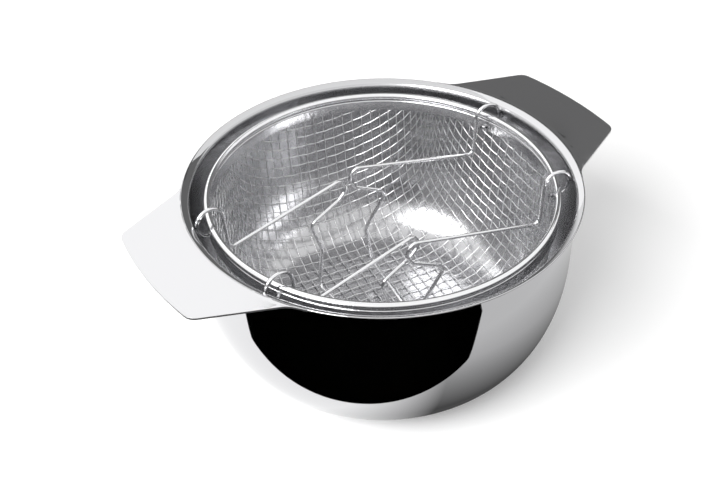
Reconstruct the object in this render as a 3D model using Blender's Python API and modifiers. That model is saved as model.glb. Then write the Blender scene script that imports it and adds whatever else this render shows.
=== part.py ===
"""Hob-top deep fryer: a drawn steel pot with two wing handles, and a wire basket with two folding bails.

Frame: metres, +Z up. The origin is on the table under the middle of the pot, and the wing handles lie
along X. The basket stands on the pot's floor and both bails are folded down into it.
"""
import math

import bmesh
import bpy
from mathutils import Matrix, Vector

# ---- driving dimensions, in metres and degrees ---------------------------------------------------
GAP = 0.0004                # left between pieces that touch or are welded on the real object

POT_WALL_R = 0.1333         # outside of the upright wall
POT_HEIGHT = 0.1380         # table to the top of the lip
LIP_OVERHANG = 0.0047       # edge of the turned-out lip past the wall
POT_SHEET = 0.0012
POT_FLOOR_R = 0.0880        # flat part of the floor
POT_CORNER_HEIGHT = 0.0825  # the floor's bend is a quarter ellipse this high
LIP_BEND_R = 0.0035         # the wall turns outward on this radius, middle of the sheet
LIP_SLOPE = 28.0            # rise of the flared lip from the bend to its edge

BASE_INSET = 0.0030         # outside of the cap, in from the edge of the flat floor
BASE_CORE_THICK = 0.0042
BASE_CAP_SHEET = 0.0008

HANDLE_SHEET = 0.0014
HANDLE_REACH = 0.0395       # lip edge to the middle of the outer edge
HANDLE_BOW = 0.0045         # how far the outer edge bulges
HANDLE_END_HALF = 0.0485    # half width at the outer corners
HANDLE_ROOT_ANGLE = 31.0    # where the straight sides would meet the lip, from the handle's middle
HANDLE_TOE_ANGLE = 36.0     # where the blended toes leave the lip
HANDLE_CORNER_R = 0.0090
HANDLE_TILT = 2.0           # outer edge up

RING_INSET = 0.0125         # outside of the wall to the middle of the ring's wire
RING_WIRE = 0.0050
RING_DROP = 0.0062          # top of the lip to the middle of the ring
STRIP_SHEET = 0.0007
STRIP_HEIGHT = 0.0085
MESH_THICK = 0.0012         # closed skin that stands for the woven wires
MESH_FLOOR_R = 0.0680       # flat part of the basket's floor
MESH_CORNER_R = 0.0450
MESH_FLOOR_RISE = 0.0006    # basket's floor above the pot's floor
SLOT_WIDTH = 0.0056         # opening in the mesh for each eye of a bail

BAIL_WIRE = 0.0028
EYE_R = 0.0100              # middle of the wire in the eye round the ring
EYE_START = 0.0             # the drop leaves the eye here, degrees up from the inward side
EYE_END = 300.0
EYE_STEPS = 15
# Side view of each bail, inward and up from the middle of the ring: drop, end of the long arm, nose
# and underside of the hook, back corner, knee, grip.
LEFT_BAIL = {
    "azimuth": 183.0,
    "half_width": 0.0412,
    "corners": ((0.0122, -0.0290), (0.1080, -0.0150), (0.1140, -0.0246), (0.1057, -0.0320),
                (0.0796, -0.0426), (0.0888, -0.0692), (0.0844, -0.1038)),
}
RIGHT_BAIL = {
    "azimuth": -10.8,
    "half_width": 0.0483,
    "corners": ((0.0106, -0.0316), (0.1102, -0.0150), (0.1154, -0.0234), (0.1108, -0.0317),
                (0.0842, -0.0438), (0.1025, -0.0735), (0.0970, -0.1100)),
}
CORNER_BENDS = (0.0050, 0.0060, 0.0060, 0.0060, 0.0060, 0.0080, 0.0060)

TURNED_STEPS = 64

# ---- sizes that follow ---------------------------------------------------------------------------
LIP_R = POT_WALL_R + LIP_OVERHANG
BASE_R = POT_FLOOR_R - BASE_INSET
RING_R = POT_WALL_R - RING_INSET
BASE_STACK = BASE_CAP_SHEET + GAP + BASE_CORE_THICK + GAP
RING_Z = POT_HEIGHT - RING_DROP
POT_FLOOR_Z = BASE_STACK + POT_SHEET
MESH_FLOOR_Z = POT_FLOOR_Z + MESH_FLOOR_RISE + MESH_THICK / 2
STRIP_TOP_Z = RING_Z - RING_WIRE / 2 - GAP
STRIP_LOW_Z = STRIP_TOP_Z - STRIP_HEIGHT
STRIP_INSIDE = MESH_THICK / 2 + GAP


# ---- scene ---------------------------------------------------------------------------------------
for old in list(bpy.data.objects):
    bpy.data.objects.remove(old, do_unlink=True)

scene_root = bpy.context.scene.collection
fryer = bpy.data.collections.new("deep_fryer")
cutters = bpy.data.collections.new("cutters")
scene_root.children.link(fryer)
scene_root.children.link(cutters)


def material(name, colour, roughness, metallic=1.0):
    """A plain Principled BSDF."""
    made = bpy.data.materials.new(name)
    made.use_nodes = True
    shader = made.node_tree.nodes["Principled BSDF"]
    shader.inputs["Base Color"].default_value = (*colour, 1.0)
    shader.inputs["Roughness"].default_value = roughness
    shader.inputs["Metallic"].default_value = metallic
    return made


def place(name, data, collection=fryer):
    """Puts mesh or curve data in the scene as an object of this name."""
    piece = bpy.data.objects.new(name, data)
    collection.objects.link(piece)
    return piece


def turned(name, profile, finish, closed=False):
    """A body of revolution about Z. The profile lists (r, z) from the inside, over the top, down the outside."""
    mesh = bpy.data.meshes.new(name)
    count = len(profile)
    edges = [(i, i + 1) for i in range(count - 1)] + ([(count - 1, 0)] if closed else [])
    mesh.from_pydata([(r, 0.0, z) for r, z in profile], edges, [])
    piece = place(name, mesh)
    screw = piece.modifiers.new("turn", "SCREW")
    screw.steps = TURNED_STEPS
    screw.render_steps = TURNED_STEPS
    screw.use_merge_vertices = True
    screw.merge_threshold = 0.00001
    screw.use_smooth_shade = True
    mesh.materials.append(finish)
    return piece


def offset(path, distance):
    """The path moved sideways by distance, to the left of its direction. It ends square at both ends."""
    moved = []
    for i, (r, z) in enumerate(path):
        r0, z0 = path[max(i - 1, 0)]
        r1, z1 = path[min(i + 1, len(path) - 1)]
        length = math.hypot(r1 - r0, z1 - z0)
        moved.append((r - (z1 - z0) / length * distance, z + (r1 - r0) / length * distance))
    return moved


def sheet_profile(path, thickness):
    """Closed section of a sheet whose middle runs from its free edge down to the axis. The edge is rounded."""
    inner = offset(path, -thickness / 2)
    outer = offset(path, thickness / 2)
    (r0, z0), (r1, z1) = path[0], path[1]
    length = math.hypot(r0 - r1, z0 - z1)
    nose = (r0 + (r0 - r1) / length * thickness * 0.4, z0 + (z0 - z1) / length * thickness * 0.4)
    return inner[::-1] + [nose] + outer


def arc(centre, radius, start, end, steps):
    """Points on an arc, angles in degrees."""
    x, y = centre
    return [
        (x + radius * math.cos(math.radians(start + (end - start) * i / steps)),
         y + radius * math.sin(math.radians(start + (end - start) * i / steps)))
        for i in range(steps + 1)
    ]


def rounded(points, bends, steps=4):
    """The path through points with arcs of the bend radii at its corners, shortened where a leg is short.

    bends holds one radius for each point, and 0 leaves that point as it is.
    """
    path = [points[0]]
    for i in range(1, len(points) - 1):
        corner = points[i]
        if not bends[i]:
            path.append(corner)
            continue
        back = points[i - 1] - corner
        ahead = points[i + 1] - corner
        half_angle = back.angle(ahead) / 2
        reach = min(bends[i] / math.tan(half_angle), 0.45 * back.length, 0.45 * ahead.length)
        radius = reach * math.tan(half_angle)
        centre = corner + (back.normalized() + ahead.normalized()).normalized() * radius / math.sin(half_angle)
        first = corner + back.normalized() * reach - centre
        last = corner + ahead.normalized() * reach - centre
        path += [centre + radius * first.slerp(last, k / steps) for k in range(steps + 1)]
    return path + [points[-1]]


# ---- finishes ------------------------------------------------------------------------------------
polished_steel = material("polished_steel", (0.72, 0.72, 0.73), 0.12)
plate_steel = material("plate_steel", (0.74, 0.74, 0.75), 0.22)
core_aluminium = material("core_aluminium", (0.80, 0.80, 0.81), 0.40)
wire_steel = material("wire_steel", (0.76, 0.76, 0.77), 0.18)
mesh_steel = material("mesh_steel", (0.60, 0.60, 0.61), 0.30)


# ---- pot -----------------------------------------------------------------------------------------
def pot_path():
    """Middle of the pot's sheet, from the lip's edge down the wall to the middle of the floor."""
    half = POT_SHEET / 2
    wall = POT_WALL_R - half
    slope = math.radians(LIP_SLOPE)
    flare = LIP_R - half - wall - LIP_BEND_R * (1 - math.sin(slope))
    flare_low = POT_HEIGHT - half - flare * math.tan(slope)
    lip_centre = (wall + LIP_BEND_R, flare_low - LIP_BEND_R * math.cos(slope))
    path = [(LIP_R - half, POT_HEIGHT - half)]
    path += arc(lip_centre, LIP_BEND_R, 90.0 + LIP_SLOPE, 180.0, 5)
    low = BASE_STACK + half
    corner_top = low + POT_CORNER_HEIGHT - half
    corner_run = wall - POT_FLOOR_R
    for i in range(17):
        angle = math.pi / 2 * i / 16
        path.append((POT_FLOOR_R + corner_run * math.cos(angle), corner_top - (corner_top - low) * math.sin(angle)))
    return path + [(0.0, low)]


turned("pot_body", sheet_profile(pot_path(), POT_SHEET), polished_steel)


# ---- encapsulated base ---------------------------------------------------------------------------
core_r = BASE_R - BASE_CAP_SHEET - GAP
core_low = BASE_CAP_SHEET + GAP
core_top = core_low + BASE_CORE_THICK
turned("base_core", [(0.0, core_top), (core_r, core_top), (core_r, core_low), (0.0, core_low)], core_aluminium)

cap_bend = 0.0015
cap_path = [(BASE_R - BASE_CAP_SHEET / 2, core_top - 2 * GAP)]
cap_path += arc((BASE_R - BASE_CAP_SHEET / 2 - cap_bend, BASE_CAP_SHEET / 2 + cap_bend), cap_bend, 0.0, -90.0, 4)
cap_path += [(0.0, BASE_CAP_SHEET / 2)]
turned("base_cap", sheet_profile(cap_path, BASE_CAP_SHEET), polished_steel)


# ---- wing handles --------------------------------------------------------------------------------
def handle_outline():
    """Outline of one plate in its own plane, with u outward from the pot's axis and v along the lip."""
    seat = LIP_R + GAP
    toe_width = 0.0006
    toe = math.radians(HANDLE_TOE_ANGLE)
    root = math.radians(HANDLE_ROOT_ANGLE)
    root_r = (seat + toe_width) / math.cos(toe - root)
    end_u = LIP_R + HANDLE_REACH - HANDLE_BOW
    bow_r = (HANDLE_END_HALF ** 2 + HANDLE_BOW ** 2) / (2 * HANDLE_BOW)
    half_sweep = math.degrees(math.asin(HANDLE_END_HALF / bow_r))
    outer_edge = arc((end_u + HANDLE_BOW - bow_r, 0.0), bow_r, half_sweep, -half_sweep, 6)
    side = [
        (math.cos(toe) * (seat + toe_width), math.sin(toe) * (seat + toe_width)),
        (math.cos(root) * root_r, math.sin(root) * root_r),
    ]
    points = side + outer_edge + [(u, -v) for u, v in side[::-1]]
    bends = [0.0, 0.060, HANDLE_CORNER_R] + [0.0] * 5 + [HANDLE_CORNER_R, 0.060, 0.0]
    path = rounded([Vector((u, v, 0.0)) for u, v in points], bends)
    inner_edge = arc((0.0, 0.0), seat, -HANDLE_TOE_ANGLE, HANDLE_TOE_ANGLE, 24)
    return [(p.x, p.y) for p in path] + inner_edge


for name, turn in (("right_handle", 0.0), ("left_handle", math.pi)):
    outline = handle_outline()
    plate = bpy.data.curves.new(name, "CURVE")
    plate.dimensions = "2D"
    plate.fill_mode = "BOTH"
    plate.extrude = HANDLE_SHEET / 2
    spline = plate.splines.new("POLY")
    spline.points.add(len(outline) - 1)
    for point, (u, v) in zip(spline.points, outline):
        point.co = (u - LIP_R, v, 0.0, 1.0)
    spline.use_cyclic_u = True
    plate.materials.append(plate_steel)
    handle = place(name, plate)
    handle.location = (LIP_R * math.cos(turn), LIP_R * math.sin(turn), POT_HEIGHT - HANDLE_SHEET / 2)
    handle.rotation_euler = (0.0, -math.radians(HANDLE_TILT), turn)


# ---- basket --------------------------------------------------------------------------------------
ring_section = arc((RING_R, RING_Z), RING_WIRE / 2, 0.0, -330.0, 11)
turned("basket_ring", ring_section, wire_steel, closed=True)

strip_out = RING_R + STRIP_INSIDE + STRIP_SHEET
strip_in = RING_R - STRIP_INSIDE - STRIP_SHEET
strip_section = [
    (strip_out, STRIP_TOP_Z),
    (strip_out, STRIP_LOW_Z),
    (strip_out - STRIP_SHEET, STRIP_LOW_Z),
    (strip_out - STRIP_SHEET, STRIP_TOP_Z - STRIP_SHEET),
    (strip_in + STRIP_SHEET, STRIP_TOP_Z - STRIP_SHEET),
    (strip_in + STRIP_SHEET, STRIP_LOW_Z),
    (strip_in, STRIP_LOW_Z),
    (strip_in, STRIP_TOP_Z),
]
basket_strip = turned("basket_strip", strip_section, plate_steel, closed=True)


def mesh_path():
    """Middle of the woven bowl, from inside the strip down the wall and round to the middle of the floor."""
    top = STRIP_TOP_Z - STRIP_SHEET - GAP - MESH_THICK / 2
    neck = STRIP_LOW_Z - GAP
    corner_z = MESH_FLOOR_Z + MESH_CORNER_R
    distance = math.hypot(RING_R - MESH_FLOOR_R, neck - corner_z)
    slope = math.degrees(math.atan2(neck - corner_z, RING_R - MESH_FLOOR_R))
    tangent = slope - math.degrees(math.acos(MESH_CORNER_R / distance))
    corner = arc((MESH_FLOOR_R, corner_z), MESH_CORNER_R, tangent, -90.0, 12)
    wall_end = corner[0]
    wall = [
        (RING_R + (wall_end[0] - RING_R) * i / 4, neck + (wall_end[1] - neck) * i / 4) for i in range(4)
    ]
    return [(RING_R, top)] + wall + corner + [(0.0, MESH_FLOOR_Z)]


basket_mesh = turned("basket_mesh", sheet_profile(mesh_path(), MESH_THICK), mesh_steel)


# ---- bails ---------------------------------------------------------------------------------------
def bail_frame(bail):
    """Matrix of a bail: its origin is on the hinge axis, X points inward, Y along the axis, Z up."""
    azimuth = math.radians(bail["azimuth"])
    chord = math.sqrt(RING_R ** 2 - bail["half_width"] ** 2)
    origin = Vector((chord * math.cos(azimuth), chord * math.sin(azimuth), RING_Z))
    return Matrix.Translation(origin) @ Matrix.Rotation(azimuth + math.pi, 4, "Z")


def bail_path(bail):
    """Middle of the wire in the bail's own frame: eye, drop, arm, hook and leg, across the grip, and back."""
    width = bail["half_width"]
    eye = arc((0.0, 0.0), EYE_R, EYE_END, EYE_START, EYE_STEPS)
    half = [Vector((s, width, h)) for s, h in eye] + [Vector((s, width, h)) for s, h in bail["corners"]]
    half_bends = [0.0] * len(eye) + list(CORNER_BENDS)
    points = half + [Vector((p.x, -p.y, p.z)) for p in half[::-1]]
    return rounded(points, half_bends + half_bends[::-1])


for name, bail in (("left_bail", LEFT_BAIL), ("right_bail", RIGHT_BAIL)):
    wire = bpy.data.curves.new(name, "CURVE")
    wire.dimensions = "3D"
    wire.bevel_depth = BAIL_WIRE / 2
    wire.bevel_resolution = 2
    wire.use_fill_caps = True
    path = bail_path(bail)
    spline = wire.splines.new("POLY")
    spline.points.add(len(path) - 1)
    for point, position in zip(spline.points, path):
        point.co = (*position, 1.0)
    wire.materials.append(wire_steel)
    frame = bail_frame(bail)
    place(name, wire).matrix_world = frame
    # Each eye passes through the strip and the mesh under it, in a notch that the strip leaves open below.
    for side, width in (("a", bail["half_width"]), ("b", -bail["half_width"])):
        slot_mesh = bpy.data.meshes.new(f"{name}_slot_{side}")
        box = bmesh.new()
        bmesh.ops.create_cube(box, size=1.0)
        slot_low = -EYE_R - BAIL_WIRE / 2 - 3 * GAP
        slot_high = -EYE_R + BAIL_WIRE / 2 + 2 * GAP
        size = Matrix.Diagonal((10 * BAIL_WIRE, SLOT_WIDTH, slot_high - slot_low, 1.0))
        middle = Matrix.Translation((0.0, width, (slot_high + slot_low) / 2))
        bmesh.ops.transform(box, matrix=frame @ middle @ size, verts=box.verts)
        box.to_mesh(slot_mesh)
        box.free()
        slot = place(slot_mesh.name, slot_mesh, cutters)
        slot.hide_render = True
        slot.display_type = "WIRE"
        for pierced in (basket_mesh, basket_strip):
            cut = pierced.modifiers.new(slot.name, "BOOLEAN")
            cut.operation = "DIFFERENCE"
            cut.object = slot


# ---- shading -------------------------------------------------------------------------------------
graph = bpy.context.evaluated_depsgraph_get()
for piece in list(fryer.objects):
    if piece.type != "MESH":
        continue
    finished = bpy.data.meshes.new_from_object(piece.evaluated_get(graph), depsgraph=graph)
    piece.modifiers.clear()
    piece.data = finished
    finished.shade_smooth()
    finished.set_sharp_from_angle(angle=math.radians(35.0))
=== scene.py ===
"""Hob-top deep fryer in polished steel: a drawn pot with wing handles and a wire basket with two bails."""
import math

import bpy
import numpy as np
from mathutils import Matrix, Vector


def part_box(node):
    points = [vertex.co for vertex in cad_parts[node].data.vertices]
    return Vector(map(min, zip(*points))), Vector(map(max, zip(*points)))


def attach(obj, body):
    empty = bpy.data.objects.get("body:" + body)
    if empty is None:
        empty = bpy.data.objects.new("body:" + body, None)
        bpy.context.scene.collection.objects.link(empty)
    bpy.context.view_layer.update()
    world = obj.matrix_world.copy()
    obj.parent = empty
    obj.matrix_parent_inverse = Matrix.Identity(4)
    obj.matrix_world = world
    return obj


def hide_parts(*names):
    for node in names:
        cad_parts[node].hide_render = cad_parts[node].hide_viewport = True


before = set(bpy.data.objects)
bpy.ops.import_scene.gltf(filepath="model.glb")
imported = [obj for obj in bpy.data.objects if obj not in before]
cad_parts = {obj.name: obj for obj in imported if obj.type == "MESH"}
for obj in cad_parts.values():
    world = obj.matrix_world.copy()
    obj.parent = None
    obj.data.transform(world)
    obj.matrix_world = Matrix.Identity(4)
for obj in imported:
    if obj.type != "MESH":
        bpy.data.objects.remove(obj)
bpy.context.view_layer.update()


# ---- Pot -----------------------------------------------------------------------------------------
# The pot is one disc of stainless steel, deep-drawn with an upright wall and a wide round bend, and
# polished on a lathe, which leaves faint rings. Its lip is rolled outward and left thin at the edge.
def deselect():
    bpy.ops.object.select_all(action="DESELECT")


def traced(name, points):
    """A line of edges through the points, left in edit mode. It grows from a plane merged to one point."""
    deselect()
    points = [Vector(p) for p in points]
    bpy.ops.mesh.primitive_plane_add(size=0.001, location=points[0])
    line = bpy.context.object
    line.name = line.data.name = name
    bpy.ops.object.mode_set(mode="EDIT")
    bpy.ops.mesh.select_all(action="SELECT")
    bpy.ops.mesh.merge(type="CENTER")
    for here, there in zip(points, points[1:]):
        bpy.ops.mesh.extrude_region_move(TRANSFORM_OT_translate={"value": there - here})
    return line


def settled(piece, angle=30.0):
    """Back to object mode, with the place in the mesh, and smooth where the faces meet gently."""
    if bpy.context.mode != "OBJECT":
        bpy.ops.object.mode_set(mode="OBJECT")
    deselect()
    piece.select_set(True)
    bpy.context.view_layer.objects.active = piece
    bpy.ops.object.transform_apply(location=True, rotation=True, scale=True)
    bpy.ops.object.shade_smooth_by_angle(angle=math.radians(angle))
    return piece


def turned(name, section, steps=192, closed=False):
    """Spins a section, given as radius and height, round the pot's axis."""
    outline = [(radius, 0.0, height) for radius, height in section]
    if closed:
        outline.append(outline[0])
    piece = traced(name, outline)
    bpy.ops.mesh.select_all(action="SELECT")
    bpy.ops.mesh.spin(steps=steps, angle=math.tau, center=(0, 0, 0), axis=(0, 0, 1))
    bpy.ops.mesh.select_all(action="SELECT")
    bpy.ops.mesh.remove_doubles(threshold=0.000005)
    bpy.ops.mesh.normals_make_consistent(inside=False)
    return settled(piece)


def arc(centre, radius, start, end, steps):
    """Points on an arc, with its angles in degrees."""
    angles = np.radians(np.linspace(start, end, steps + 1))
    return [(centre[0] + radius * math.cos(a), centre[1] + radius * math.sin(a)) for a in angles]


def sheet(middle, thickness):
    """Closed section of a sheet from its middle line, which runs from a free, rounded edge to the axis."""
    line = np.array(middle)
    along = np.gradient(line, axis=0)
    along /= np.linalg.norm(along, axis=1)[:, None]
    side = np.column_stack([along[:, 1], -along[:, 0]]) * thickness / 2
    near, far = line + side, line - side
    near[-1, 0] = far[-1, 0] = 0.0
    turn = math.degrees(math.atan2(-side[0, 1], -side[0, 0]))
    edge = arc(line[0], thickness / 2, turn, turn - 180.0, 8)
    middle_edge = np.array(edge[4]) - line[0]
    if middle_edge @ along[0] > 0:
        edge = arc(line[0], thickness / 2, turn, turn + 180.0, 8)
    return [tuple(p) for p in far[::-1]] + edge[1:-1] + [tuple(p) for p in near]


class Value:
    """A number in a material. Sums, products and the like on it add the Math nodes."""

    def __init__(self, finish, socket):
        self.finish = finish
        self.socket = socket

    def maths(self, operation, *values):
        node = self.finish.node("ShaderNodeMath", {"operation": operation}, *values)
        return Value(self.finish, node.outputs[0])

    def __add__(self, other):
        return self.maths("ADD", self, other)

    def __radd__(self, other):
        return self.maths("ADD", other, self)

    def __sub__(self, other):
        return self.maths("SUBTRACT", self, other)

    def __rsub__(self, other):
        return self.maths("SUBTRACT", other, self)

    def __mul__(self, other):
        return self.maths("MULTIPLY", self, other)

    def __rmul__(self, other):
        return self.maths("MULTIPLY", other, self)

    def root(self):
        return self.maths("SQRT", self)

    def between(self, low, high):
        return self.maths("MINIMUM", self.maths("MAXIMUM", self, low), high)


class Finish:
    """A metal finish: the material, its Principled shader, and places on the piece to vary it by."""

    def __init__(self, name, colour, roughness):
        self.material = bpy.data.materials.new(name)
        self.material.use_nodes = True
        self.tree = self.material.node_tree
        self.shader = self.tree.nodes["Principled BSDF"]
        self.shader.inputs["Base Color"].default_value = (*colour, 1.0)
        self.shader.inputs["Metallic"].default_value = 1.0
        self.shader.inputs["Roughness"].default_value = roughness
        place = self.node("ShaderNodeTexCoord")
        self.place = place.outputs["Object"]
        split = self.node("ShaderNodeSeparateXYZ", {}, self.place)
        self.x, self.y, self.z = (Value(self, split.outputs[i]) for i in range(3))

    def node(self, kind, settings=None, *values, **named):
        node = self.tree.nodes.new(kind)
        for key, value in (settings or {}).items():
            setattr(node, key, value)
        pairs = list(zip(node.inputs, values))
        pairs += [(node.inputs[key.replace("_", " ")], value) for key, value in named.items()]
        for socket, value in pairs:
            if isinstance(value, Value):
                value = value.socket
            if isinstance(value, bpy.types.NodeSocket):
                self.tree.links.new(value, socket)
            else:
                socket.default_value = value
        return node

    def from_axis(self):
        """Distance from the pot's axis."""
        return (self.x * self.x + self.y * self.y).root()

    def grain(self, vector, scale, detail=3.0, roughness=0.55):
        """Noise from 0 to 1."""
        noise = self.node(
            "ShaderNodeTexNoise", {}, Vector=vector, Scale=scale, Detail=detail, Roughness=roughness
        )
        return Value(self, noise.outputs[0])

    def rings(self, around=14.0, across=1600.0):
        """Fine lines that run round the pot's axis, as a polishing wheel leaves them."""
        along_x = self.x * around + self.from_axis() * across
        swirl = self.node("ShaderNodeCombineXYZ", {}, along_x, self.y * around, self.z * across)
        return self.grain(swirl.outputs[0], 1.0, 4.0)

    def vary(self, socket, value):
        self.tree.links.new(value.socket, self.shader.inputs[socket])

    def raise_by(self, height, distance, strength=1.0):
        bump = self.node("ShaderNodeBump", {}, Strength=strength, Distance=distance, Height=height)
        self.tree.links.new(bump.outputs[0], self.shader.inputs["Normal"])


pot_wall_r = 0.1333
pot_height = 0.1380
pot_sheet = 0.0012
lip_r = 0.1380
lip_bend_r = 0.0035
lip_slope = 28.0
floor_r = 0.0880
bend_height = 0.0825
base_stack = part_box("pot_body")[0][2]

half_sheet = pot_sheet / 2
wall_middle = pot_wall_r - half_sheet
bend_low = base_stack + half_sheet
bend_top = bend_low + bend_height - half_sheet
flare = lip_r - half_sheet - wall_middle - lip_bend_r * (1 - math.sin(math.radians(lip_slope)))
flare_low = pot_height - half_sheet - flare * math.tan(math.radians(lip_slope))
flare_z = flare_low - lip_bend_r * math.cos(math.radians(lip_slope))
pot_line = [(lip_r - half_sheet, pot_height - half_sheet)]
pot_line += arc((wall_middle + lip_bend_r, flare_z), lip_bend_r, 90.0 + lip_slope, 180.0, 10)
pot_line += [(wall_middle, bend_top + (flare_z - bend_top) * k / 6) for k in (5, 4, 3, 2, 1)]
pot_line += [
    (floor_r + (wall_middle - floor_r) * math.cos(a), bend_top - (bend_top - bend_low) * math.sin(a))
    for a in np.linspace(0.0, math.pi / 2, 49)
]
pot_line += [(floor_r * k / 4, bend_low) for k in (3, 2, 1, 0)]
pot = turned("pot_shell", sheet(pot_line, pot_sheet), steps=256)

polish = Finish("mirror_polished_steel", (0.60, 0.60, 0.61), 0.03)
lathe_marks = polish.rings()
smudges = polish.grain(polish.place, 18.0, 2.0)
polish.vary("Roughness", 0.02 + 0.05 * lathe_marks * smudges)
polish.raise_by(lathe_marks, 0.000003, 0.2)
pot.data.materials.append(polish.material)

# The inside has a darker base colour than the outside steel, as painted shade for the deep inside of the
# pot. Its satin roughness and turning rings are its own finish.
satin = Finish("satin_inside_steel_painted_shade", (0.54, 0.54, 0.55), 0.2)
turning = satin.rings(10.0, 1300.0)
satin.vary("Roughness", 0.14 + 0.09 * turning)
satin.raise_by(turning, 0.000006, 0.3)
pot.data.materials.append(satin.material)
for face in pot.data.polygons:
    inward = Vector((-face.center.x, -face.center.y, 0.02))
    if face.center.z < flare_low and face.normal.dot(inward) > 0:
        face.material_index = 1
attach(pot, "pot")
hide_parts("pot_body")


# ---- Encapsulated base ---------------------------------------------------------------------------
# An aluminium disc is pressed between the pot's floor and a thin steel cap, to spread the heat. The cap
# is drawn up round the disc's edge and ground flat underneath, with turned rings.
cap_r = 0.0850
cap_sheet = 0.0008
cap_bend = 0.0015
cap_line = [(cap_r - cap_sheet / 2, base_stack - 0.0004)]
cap_line += arc((cap_r - cap_sheet / 2 - cap_bend, cap_sheet / 2 + cap_bend), cap_bend, 0.0, -90.0, 8)
cap_line += [(cap_r * k / 6, cap_sheet / 2) for k in (5, 4, 3, 2, 1, 0)]
cap = turned("base_cap_shell", sheet(cap_line, cap_sheet), steps=192)

ground = Finish("ground_satin_steel", (0.74, 0.74, 0.75), 0.24)
ground_rings = ground.rings(6.0, 2400.0)
ground.vary("Roughness", 0.16 + 0.18 * ground_rings)
ground.raise_by(ground_rings, 0.00001, 0.6)
cap.data.materials.append(ground.material)
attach(cap, "pot")
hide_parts("base_cap")

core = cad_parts["base_core"]
cast = Finish("plain_aluminium", (0.83, 0.83, 0.84), 0.38)
cast.vary("Roughness", 0.30 + 0.18 * cast.grain(cast.place, 400.0))
core.data.materials.clear()
core.data.materials.append(cast.material)


# ---- Wing handles --------------------------------------------------------------------------------
# Each wing is a flat plate of steel, blanked with rounded corners, welded along the lip and ground
# flush with it, so that lip and plate read as one surface. The outer edge is tipped up a little.
wing_sheet = 0.0014
wing_reach = 0.0395
wing_bow = 0.0045
wing_end_half = 0.0485
wing_root_angle = 31.0
wing_toe_angle = 36.0
wing_corner_r = 0.0090
wing_tilt = 1.8


def rounded(points, bends, steps=8):
    """The path with an arc of the bend's radius at each point. A bend of 0 leaves its point as it is."""
    path = [points[0]]
    for i in range(1, len(points) - 1):
        corner = points[i]
        if not bends[i]:
            path.append(corner)
            continue
        back = points[i - 1] - corner
        ahead = points[i + 1] - corner
        half = back.angle(ahead) / 2
        reach = min(bends[i] / math.tan(half), 0.45 * back.length, 0.45 * ahead.length)
        radius = reach * math.tan(half)
        centre = corner + (back.normalized() + ahead.normalized()).normalized() * radius / math.sin(half)
        first = corner + back.normalized() * reach - centre
        last = corner + ahead.normalized() * reach - centre
        path += [centre + radius * first.slerp(last, k / steps) for k in range(steps + 1)]
    return path + [points[-1]]


wing_seat = lip_r - 0.0004
toe = math.radians(wing_toe_angle)
root = math.radians(wing_root_angle)
toe_r = lip_r + 0.0001
root_r = toe_r / math.cos(toe - root)
end_u = lip_r + wing_reach - wing_bow
bow_r = (wing_end_half ** 2 + wing_bow ** 2) / (2 * wing_bow)
bow_sweep = math.degrees(math.asin(wing_end_half / bow_r))
wing_end = arc((end_u + wing_bow - bow_r, 0.0), bow_r, bow_sweep, -bow_sweep, 8)
wing_side = [(radius * math.cos(a), radius * math.sin(a)) for radius, a in ((toe_r, toe), (root_r, root))]
wing_outline = wing_side + wing_end + [(u, -v) for u, v in wing_side[::-1]]
wing_bends = [0.0, 0.060, wing_corner_r] + [0.0] * 7 + [wing_corner_r, 0.060, 0.0]
wing_outline = rounded([Vector((u, v, 0.0)) for u, v in wing_outline], wing_bends)
wing_root = arc((0.0, 0.0), wing_seat, -wing_toe_angle, wing_toe_angle, 36)
wing_outline += [Vector((u, v, 0.0)) for u, v in wing_root]

brushed = Finish("polished_plate_steel", (0.62, 0.62, 0.63), 0.10)
drag = brushed.node("ShaderNodeMapping", {}, Vector=brushed.place, Scale=(60.0, 1500.0, 60.0))
plate_marks = brushed.grain(drag.outputs[0], 1.0, 3.0)
brushed.vary("Roughness", 0.05 + 0.07 * plate_marks)
# The weld is dressed to a shallow slope that falls away from the lip.
seam = ((brushed.from_axis() - lip_r) * 330.0).between(0.0, 1.0)
brushed.raise_by(plate_marks * 0.0015 - seam * seam * (3.0 - 2.0 * seam), 0.0005, 1.0)

cut_edge = Finish("linished_edge_steel", (0.66, 0.66, 0.67), 0.4)
cut_edge.vary("Roughness", 0.34 + 0.14 * cut_edge.grain(cut_edge.place, 500.0))

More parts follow.
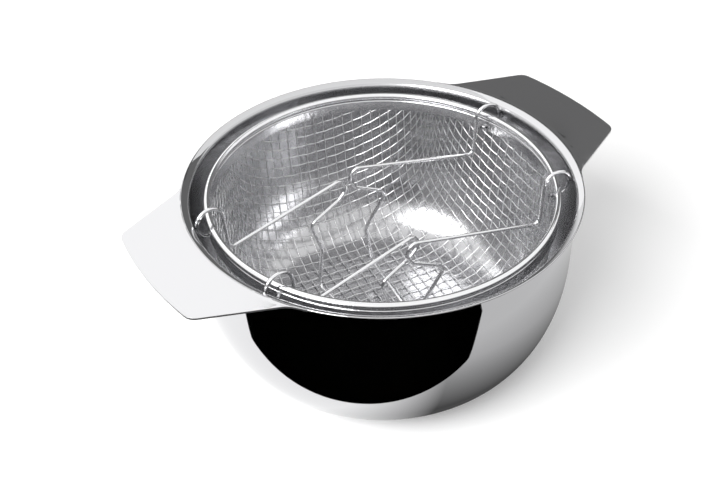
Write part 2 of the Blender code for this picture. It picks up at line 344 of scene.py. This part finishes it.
for side, turn in (("right", 0.0), ("left", 180.0)):
    wing = traced(f"{side}_wing", wing_outline)
    bpy.ops.mesh.select_all(action="SELECT")
    bpy.ops.mesh.edge_face_add()
    bpy.ops.mesh.extrude_region_move(TRANSFORM_OT_translate={"value": (0.0, 0.0, -wing_sheet)})
    # Cut into strips, so that the plate can rise from the lip all along its curved root.
    cuts = [((u, 0.0, 0.0), (1.0, 0.0, 0.0)) for u in np.linspace(0.114, 0.174, 13)]
    cuts += [((0.0, v, 0.0), (0.0, 1.0, 0.0)) for v in np.linspace(-0.072, 0.072, 25)]
    for through, across in cuts:
        bpy.ops.mesh.select_all(action="SELECT")
        bpy.ops.mesh.bisect(plane_co=through, plane_no=across)
    bpy.ops.mesh.select_all(action="SELECT")
    bpy.ops.mesh.normals_make_consistent(inside=False)
    bpy.ops.object.mode_set(mode="OBJECT")
    wing.data.update()
    origin = wing.matrix_world.copy()
    for vertex in wing.data.vertices:
        spot = origin @ vertex.co
        beyond_lip = max(0.0, math.hypot(spot.x, spot.y) - lip_r)
        spot.z += pot_height + beyond_lip * math.tan(math.radians(wing_tilt))
        vertex.co = origin.inverted() @ spot
    soften = wing.modifiers.new("worn edges", "BEVEL")
    soften.width = 0.00045
    soften.segments = 3
    soften.limit_method = "ANGLE"
    soften.angle_limit = math.radians(50.0)
    bpy.ops.object.modifier_apply(modifier=soften.name)
    bpy.ops.object.transform_apply(location=True, rotation=True, scale=True)
    wing.matrix_world = Matrix.Rotation(math.radians(turn), 4, "Z")
    settled(wing)
    wing.data.materials.append(brushed.material)
    wing.data.materials.append(cut_edge.material)
    for face in wing.data.polygons:
        face.material_index = int(abs(face.normal.z) < 0.9)
    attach(wing, "pot")
    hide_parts(f"{side}_handle")


# ---- Basket ring ---------------------------------------------------------------------------------
# A ring of stout steel wire carries the basket. Its two ends are butt-welded, which leaves a small
# bead, and the polished wire shows one long bright line.
ring_r = 0.1208
ring_wire = 0.0050
ring_z = (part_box("basket_ring")[0][2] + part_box("basket_ring")[1][2]) / 2

deselect()
bpy.ops.mesh.primitive_torus_add(
    major_segments=288, minor_segments=20, major_radius=ring_r, minor_radius=ring_wire / 2 - 0.00002,
    location=(0.0, 0.0, ring_z),
)
ring = bpy.context.object
ring.name = ring.data.name = "ring_wire"
settled(ring)
weld_azimuth = math.radians(118.0)
for vertex in ring.data.vertices:
    reach = ring_r * abs(math.remainder(math.atan2(vertex.co.y, vertex.co.x) - weld_azimuth, math.tau))
    outward = vertex.co.xy.normalized() * ring_r
    middle = Vector((outward.x, outward.y, ring_z))
    vertex.co = middle + (vertex.co - middle) * (1.0 + 0.09 * math.exp(-(reach / 0.0016) ** 2))

bright = Finish("bright_drawn_wire", (0.82, 0.82, 0.83), 0.10)
draw_lines = bright.rings(300.0, 900.0)
bright.vary("Roughness", 0.07 + 0.07 * draw_lines)
bright.raise_by(draw_lines, 0.000006, 0.25)
ring.data.materials.append(bright.material)
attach(ring, "basket")
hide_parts("basket_ring")


# ---- Clamping strip ------------------------------------------------------------------------------
# A thin steel strip is folded over the cut edge of the mesh and crimped on just under the ring.
# The crimping leaves small dents all round it.
strip_sheet = 0.0007
strip_low, strip_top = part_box("basket_strip")[0][2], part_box("basket_strip")[1][2]
strip_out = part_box("basket_strip")[1][0]
strip_in = 2 * ring_r - strip_out
fold = (strip_out - strip_in) / 2 - 0.00005
outer_face = [(strip_out, strip_low)] + arc((ring_r, strip_top - fold), fold, 0.0, 180.0, 16)
inner_fold = fold - strip_sheet
strip_section = outer_face + [(strip_in, strip_low), (strip_in + strip_sheet, strip_low)]
strip_section += arc((ring_r, strip_top - fold), inner_fold, 180.0, 0.0, 12)
strip_section += [(strip_out - strip_sheet, strip_low)]
strip = turned("mesh_clamp", strip_section, steps=288, closed=True)

crimped = Finish("crimped_strip_steel", (0.62, 0.62, 0.63), 0.16)
ripple = crimped.node("ShaderNodeMapping", {}, Vector=crimped.place, Scale=(1.0, 1.0, 0.35))
dents = crimped.grain(ripple.outputs[0], 210.0, 2.0)
crimped.vary("Roughness", 0.10 + 0.14 * dents)
crimped.raise_by(dents, 0.00035, 0.7)
strip.data.materials.append(crimped.material)
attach(strip, "basket")
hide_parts("basket_strip")


# ---- Woven mesh ----------------------------------------------------------------------------------
# The bowl is plain-woven steel wire cloth, pressed to shape: the wires keep their spacing along
# themselves, so the square meshes skew into diamonds on the four diagonals of the wall.
mesh_wire_r = 0.00041
mesh_pitch = 0.0080
mesh_azimuth = -9.0
mesh_floor_r = 0.0680
mesh_corner_r = 0.0450
mesh_floor_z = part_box("basket_mesh")[0][2] + 0.0006
samples = 4

neck_z = strip_low - 0.0004
corner_z = mesh_floor_z + mesh_corner_r
sight = math.hypot(ring_r - mesh_floor_r, neck_z - corner_z)
slope = math.atan2(neck_z - corner_z, ring_r - mesh_floor_r) - math.acos(mesh_corner_r / sight)
corner_length = mesh_corner_r * (slope + math.pi / 2)
wall_foot = (mesh_floor_r + mesh_corner_r * math.cos(slope), corner_z + mesh_corner_r * math.sin(slope))
wall_length = math.hypot(ring_r - wall_foot[0], neck_z - wall_foot[1])


def bowl(length):
    """Radius, height and outward normal of the bowl at a distance from the middle of its floor."""
    if length <= mesh_floor_r:
        return length, mesh_floor_z, (0.0, -1.0)
    length -= mesh_floor_r
    if length <= corner_length:
        a = length / mesh_corner_r - math.pi / 2
        out = (math.cos(a), math.sin(a))
        return mesh_floor_r + mesh_corner_r * out[0], corner_z + mesh_corner_r * out[1], out
    length -= corner_length
    lean = ((ring_r - wall_foot[0]) / wall_length, (neck_z - wall_foot[1]) / wall_length)
    if length <= wall_length:
        return wall_foot[0] + lean[0] * length, wall_foot[1] + lean[1] * length, (lean[1], -lean[0])
    return ring_r, neck_z + length - wall_length, (1.0, 0.0)


def on_bowl(q):
    length = math.hypot(*q)
    radius, height, out = bowl(length)
    aim = q / length if length > 1e-9 else np.array([1.0, 0.0])
    return np.array([*(radius * aim), height]), np.array([*(out[0] * aim), out[1]])


def crossing(q, first, second):
    """The point of the bowl that is one pitch from each of two crossings."""
    for _ in range(12):
        point = on_bowl(q)[0]
        miss = np.array([np.linalg.norm(point - first), np.linalg.norm(point - second)]) - mesh_pitch
        if np.abs(miss).max() < 1e-7:
            return q
        slopes = np.empty((2, 2))
        for k in range(2):
            step = np.zeros(2)
            step[k] = 1e-6
            moved = on_bowl(q + step)[0]
            slopes[0, k] = (np.linalg.norm(moved - first) - np.linalg.norm(point - first)) / 1e-6
            slopes[1, k] = (np.linalg.norm(moved - second) - np.linalg.norm(point - second)) / 1e-6
        if abs(np.linalg.det(slopes)) < 1e-3:
            return None
        q = q - np.linalg.solve(slopes, miss)
    return None


reach_limit = mesh_floor_r + corner_length + wall_length + 0.020
net = {}
for i in range(40):
    for j in range(40):
        if i == 0 or j == 0:
            q = np.array([i * mesh_pitch, j * mesh_pitch])
        elif (i - 1, j) in net and (i, j - 1) in net and (i - 1, j - 1) in net:
            left, below, corner = net[i - 1, j], net[i, j - 1], net[i - 1, j - 1]
            q = crossing(left + below - corner, on_bowl(left)[0], on_bowl(below)[0])
        else:
            continue
        if q is not None and math.hypot(*q) < reach_limit:
            net[i, j] = q


def wire_line(fixed, along_first):
    """Middle line and normals of one woven wire, crimped over and under the wires that it crosses."""
    points, normals = [], []
    for k in range(-40, 41):
        i, j = (k, fixed) if along_first else (fixed, k)
        if (abs(i), abs(j)) not in net:
            continue
        point, normal = on_bowl(net[abs(i), abs(j)])
        signs = np.array([math.copysign(1.0, i), math.copysign(1.0, j), 1.0])
        points.append(point * signs)
        normals.append(normal * signs)
    if len(points) < 3:
        return None
    points, normals = np.array(points), np.array(normals)
    first = [k for k in range(-40, 41) if (abs(k), abs(fixed)) in net or (abs(fixed), abs(k)) in net][0]
    path, outs = [], []
    for k in range(len(points) - 1):
        before, after = max(k - 1, 0), min(k + 2, len(points) - 1)
        crimp = (-1.0) ** (first + k + fixed) * (1.0 if along_first else -1.0)
        for t in np.arange(samples) / samples:
            spread = (
                2 * points[k] + (points[k + 1] - points[before]) * t
                + (2 * points[before] - 5 * points[k] + 4 * points[k + 1] - points[after]) * t ** 2
                + (3 * points[k] - points[before] - 3 * points[k + 1] + points[after]) * t ** 3
            ) / 2
            normal = normals[k] * (1 - t) + normals[k + 1] * t
            normal /= np.linalg.norm(normal)
            path.append(spread + normal * crimp * mesh_wire_r * math.cos(math.pi * t))
            outs.append(normal)
    path, outs = np.array(path), np.array(outs)
    kept = path[:, 2] < strip_top - 0.0016
    if kept.sum() < 4:
        return None
    return path[kept], outs[kept]


def wire_stock(name, length):
    """A straight six-sided wire with a ring of edges at each whole unit of its height."""
    deselect()
    bpy.ops.mesh.primitive_circle_add(vertices=6, radius=1.0, location=(0.0, 0.0, 0.0))
    stock = bpy.context.object
    stock.name = stock.data.name = name
    bpy.ops.object.mode_set(mode="EDIT")
    bpy.ops.mesh.select_all(action="SELECT")
    bpy.ops.mesh.extrude_region_move(TRANSFORM_OT_translate={"value": (0.0, 0.0, 1.0)})
    bpy.ops.object.mode_set(mode="OBJECT")
    repeat = stock.modifiers.new("length", "ARRAY")
    repeat.count = length
    repeat.use_relative_offset = False
    repeat.use_constant_offset = True
    repeat.constant_offset_displace = (0.0, 0.0, 1.0)
    repeat.use_merge_vertices = True
    repeat.merge_threshold = 0.0001
    bpy.ops.object.modifier_apply(modifier=repeat.name)
    bpy.ops.object.mode_set(mode="EDIT")
    for end in (0, length):
        bpy.ops.mesh.select_all(action="DESELECT")
        bpy.ops.object.mode_set(mode="OBJECT")
        for vertex in stock.data.vertices:
            vertex.select = abs(vertex.co.z - end) < 0.01
        bpy.ops.object.mode_set(mode="EDIT")
        bpy.ops.mesh.edge_face_add()
    bpy.ops.mesh.select_all(action="SELECT")
    bpy.ops.mesh.normals_make_consistent(inside=False)
    bpy.ops.object.mode_set(mode="OBJECT")
    return stock


woven = Finish("woven_bright_wire", (0.72, 0.72, 0.73), 0.14)
wire_tone = woven.grain(woven.place, 260.0, 2.0)
woven.vary("Roughness", 0.22 + 0.12 * wire_tone)
woven.raise_by(wire_tone, 0.00002, 0.3)

stocks = {}
turn_mesh = Matrix.Rotation(math.radians(mesh_azimuth), 3, "Z")
for name, along_first in (("warp", True), ("weft", False)):
    laid = []
    for fixed in range(-39, 40):
        line = wire_line(fixed, along_first)
        if line is None:
            continue
        path, outs = line
        length = len(path) - 1
        if length not in stocks:
            stocks[length] = wire_stock(f"stock_{length}", length)
        deselect()
        wire = stocks[length].copy()
        wire.data = stocks[length].data.copy()
        bpy.context.scene.collection.objects.link(wire)
        along = np.gradient(path, axis=0)
        along /= np.linalg.norm(along, axis=1)[:, None]
        across = np.cross(along, outs)
        across /= np.linalg.norm(across, axis=1)[:, None]
        raised = np.cross(across, along)
        place = np.empty(len(wire.data.vertices) * 3)
        wire.data.vertices.foreach_get("co", place)
        place = place.reshape(-1, 3)
        at = np.rint(place[:, 2]).astype(int)
        bent = path[at] + mesh_wire_r * (place[:, :1] * raised[at] + place[:, 1:2] * across[at])
        wire.data.vertices.foreach_set("co", (bent @ np.array(turn_mesh).T).ravel())
        laid.append(wire)
    deselect()
    for wire in laid:
        wire.select_set(True)
    bpy.context.view_layer.objects.active = laid[0]
    bpy.ops.object.join()
    cloth = bpy.context.object
    cloth.name = cloth.data.name = f"mesh_{name}"
    bpy.ops.object.mode_set(mode="EDIT")
    bpy.ops.mesh.select_all(action="SELECT")
    bpy.ops.mesh.normals_make_consistent(inside=False)
    settled(cloth, 60.0)
    cloth.data.materials.append(woven.material)
    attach(cloth, "basket")
    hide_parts("basket_mesh")
for stock in stocks.values():
    bpy.data.objects.remove(stock)


# ---- Bails ---------------------------------------------------------------------------------------
# Each bail is one length of wire, bent cold: an eye round the ring, a drop, a long arm with a hook
# that can hang on the pot's lip, a leg, and a straight grip. Both lie folded down in the basket.
bail_wire = 0.0028
eye_r = 0.0100
bend_radii = (0.0050, 0.0060, 0.0060, 0.0060, 0.0060, 0.0080, 0.0060)
bails = {
    "left_bail": {
        "azimuth": 183.0,
        "half_width": 0.0412,
        "corners": ((0.0122, -0.0290), (0.1080, -0.0150), (0.1140, -0.0246), (0.1057, -0.0320),
                    (0.0796, -0.0426), (0.0888, -0.0692), (0.0844, -0.1038)),
    },
    "right_bail": {
        "azimuth": -10.8,
        "half_width": 0.0483,
        "corners": ((0.0106, -0.0316), (0.1102, -0.0150), (0.1154, -0.0234), (0.1108, -0.0317),
                    (0.0842, -0.0438), (0.1025, -0.0735), (0.0970, -0.1100)),
    },
}

drawn = Finish("bright_bail_wire", (0.78, 0.78, 0.79), 0.10)
bail_marks = drawn.grain(drawn.place, 700.0, 2.0)
drawn.vary("Roughness", 0.03 + 0.05 * bail_marks)
drawn.raise_by(bail_marks, 0.000008, 0.3)

for name, bail in bails.items():
    width = bail["half_width"]
    eye = arc((0.0, 0.0), eye_r, 300.0, 0.0, 30)
    one_side = [Vector((s, width, h)) for s, h in eye] + [Vector((s, width, h)) for s, h in bail["corners"]]
    side_bends = [0.0] * len(eye) + list(bend_radii)
    route = one_side + [Vector((p.x, -p.y, p.z)) for p in one_side[::-1]]
    route = rounded(route, side_bends + side_bends[::-1], 7)
    wire = traced(f"{name}_wire", route)
    bpy.ops.object.mode_set(mode="OBJECT")
    bpy.ops.object.convert(target="CURVE")
    wire = bpy.context.object
    wire.data.bevel_depth = bail_wire / 2 - 0.00001
    wire.data.bevel_resolution = 4
    wire.data.use_fill_caps = True
    bpy.ops.object.convert(target="MESH")
    wire = bpy.context.object
    wire.name = wire.data.name = f"{name}_wire"
    bpy.ops.object.mode_set(mode="EDIT")
    bpy.ops.mesh.select_all(action="SELECT")
    bpy.ops.mesh.remove_doubles(threshold=0.000005)
    bpy.ops.mesh.normals_make_consistent(inside=False)
    bpy.ops.object.mode_set(mode="OBJECT")
    bpy.ops.object.transform_apply(location=True, rotation=True, scale=True)
    azimuth = math.radians(bail["azimuth"])
    chord = math.sqrt(ring_r ** 2 - width ** 2)
    hinge = Matrix.Translation((chord * math.cos(azimuth), chord * math.sin(azimuth), ring_z))
    wire.matrix_world = hinge @ Matrix.Rotation(azimuth + math.pi, 4, "Z")
    hinge_place = wire.matrix_world.copy()
    settled(wire, 60.0)
    wire.data.materials.append(drawn.material)
    # The strip has a slot where each eye goes through it.
    for offset in (width, -width):
        deselect()
        bpy.ops.mesh.primitive_cube_add(size=1.0)
        nick = bpy.context.object
        nick.matrix_world = (
            hinge_place @ Matrix.Translation((0.0, offset, -eye_r - 0.0005))
            @ Matrix.Diagonal((10 * bail_wire, 2 * bail_wire, bail_wire + 0.0026, 1.0))
        )
        bpy.context.view_layer.objects.active = strip
        cut = strip.modifiers.new("nick", "BOOLEAN")
        cut.operation = "DIFFERENCE"
        cut.object = nick
        bpy.ops.object.modifier_apply(modifier=cut.name)
        bpy.data.objects.remove(nick)
    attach(wire, name)
    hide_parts(name)


# ---- Studio --------------------------------------------------------------------------------------
# A white sweep under a broad soft light. The polished steel mirrors a tent of white paper with a black
# flag low in front, a grey one behind to the right, and a floor that darkens toward the pot's foot in a
# painted shadow.
def papered(panel, name, shade, glow=0.0, only_mirrored=True):
    """Gives a panel its paper. One that is only mirrored can't be seen, and casts no light or shadow."""
    panel.name = name
    bpy.ops.object.transform_apply(location=True, rotation=True, scale=True)
    paper = Finish(name, (shade, shade, shade), 0.9)
    paper.shader.inputs["Metallic"].default_value = 0.0
    paper.shader.inputs["Specular IOR Level"].default_value = 0.0
    paper.shader.inputs["Emission Color"].default_value = (1.0, 1.0, 1.0, 1.0)
    paper.shader.inputs["Emission Strength"].default_value = glow
    panel.data.materials.append(paper.material)
    if only_mirrored:
        panel.visible_camera = panel.visible_diffuse = panel.visible_shadow = False
        panel.visible_transmission = panel.visible_volume_scatter = False
    return paper


def backdrop(name, size, place, shade, glow=0.0, only_mirrored=True):
    """A flat panel facing the pot."""
    deselect()
    bpy.ops.mesh.primitive_grid_add(x_subdivisions=2, y_subdivisions=2, size=1.0)
    bpy.context.object.matrix_world = place @ Matrix.Diagonal((*size, 1.0, 1.0))
    return papered(bpy.context.object, name, shade, glow, only_mirrored)


def looking(azimuth, height):
    """Directions to the side, up and back of a view from an azimuth and height, in degrees."""
    azimuth, height = math.radians(azimuth), math.radians(height)
    level = math.cos(height)
    back = Vector((math.sin(azimuth) * level, -math.cos(azimuth) * level, math.sin(height)))
    side = Vector((math.cos(azimuth), math.sin(azimuth), 0.0))
    return side, back.cross(side), back


def facing(azimuth, height, distance):
    """Place of a panel or lamp that looks at the pot from an azimuth and height, in degrees."""
    side, up, back = looking(azimuth, height)
    turn = Matrix((side, up, back)).transposed().to_4x4()
    return Matrix.Translation(Vector((0.0, 0.0, 0.1)) + back * distance) @ turn


backdrop("studio_floor", (8.0, 8.0), Matrix.Identity(4), 0.90, 0.13, only_mirrored=False)

# The black flag lies on the floor with one edge near the pot, square to a line toward the front left.
flag_size = (1.8, 0.9)
flag_edge = 0.140
edge_out = Vector((-0.74, -0.67, 0.0)).normalized()
edge_side = Vector((-edge_out.y, edge_out.x, 0.0))
flag = Matrix((edge_side, edge_out, Vector((0.0, 0.0, 1.0)))).transposed().to_4x4()
flag.translation = edge_out * (flag_edge + flag_size[1] / 2) + Vector((0.0, 0.0, 0.0004))
backdrop("black_flag", flag_size, flag, 0.0)
backdrop("grey_flag", (1.25, 1.2), facing(124.0, 18.0, 1.5), 0.0, 0.19)
backdrop("high_flag", (0.52, 0.36), facing(141.0, 42.0, 1.45), 0.0, 0.10)
backdrop("white_card", (1.3, 1.3), facing(182.0, 42.0, 1.52), 0.0, 1.45)

# The tent is dark round its foot.
deselect()
bpy.ops.mesh.primitive_uv_sphere_add(segments=48, ring_count=24, radius=2.4)
tent = papered(bpy.context.object, "paper_tent", 0.0, 1.12)
height = ((tent.z - 0.30) * 1.6).between(0.12, 1.0)
tent.tree.links.new(height.socket, tent.shader.inputs["Emission Color"])

# The mirrored floor is bright to the left of the pot, and on the right only away from its foot. It is a
# glow seen only in the steel, with painted light to the left and a painted shadow round the pot's foot.
mirrored_floor = backdrop("mirrored_floor", (4.0, 4.0), Matrix.Translation((0.0, 0.0, 0.0002)), 0.0, 1.4)
painted_foot_shadow = ((mirrored_floor.from_axis() - 0.105) * 4.2).between(0.06, 0.54)
painted_left_light = ((0.0 - mirrored_floor.x - 0.03) * 12.5).between(0.0, 0.88)
lit = painted_foot_shadow + (1.0 - painted_foot_shadow) * painted_left_light
mirrored_floor.tree.links.new(lit.socket, mirrored_floor.shader.inputs["Emission Color"])

key = bpy.data.lights.new("key", "AREA")
key.shape = "RECTANGLE"
key.size, key.size_y = 1.76, 1.41
key.energy = 66.0
lamp = bpy.data.objects.new("key", key)
bpy.context.scene.collection.objects.link(lamp)
lamp.matrix_world = facing(-80.0, 42.0, 2.2)

world = bpy.data.worlds.new("studio")
bpy.context.scene.world = world
world.use_nodes = True
world.node_tree.nodes["Background"].inputs["Color"].default_value = (1.0, 1.0, 1.0, 1.0)
world.node_tree.nodes["Background"].inputs["Strength"].default_value = 0.62
bpy.context.scene.view_settings.view_transform = "Standard"

camera_data = bpy.data.cameras.new("camera")
camera_data.lens = 50.66
camera_data.sensor_width = 36.0
camera = bpy.data.objects.new("camera", camera_data)
bpy.context.scene.collection.objects.link(camera)
bpy.context.scene.camera = camera
level, upright, back = looking(-33.72, 39.131)
roll = math.radians(1.385)
right = level * math.cos(roll) - upright * math.sin(roll)
up = level * math.sin(roll) + upright * math.cos(roll)
turn = Matrix((right, up, back)).transposed().to_4x4()
camera.matrix_world = Matrix.Translation((-0.3281, -0.4629, 0.5464)) @ turn

bpy.context.view_layer.update()
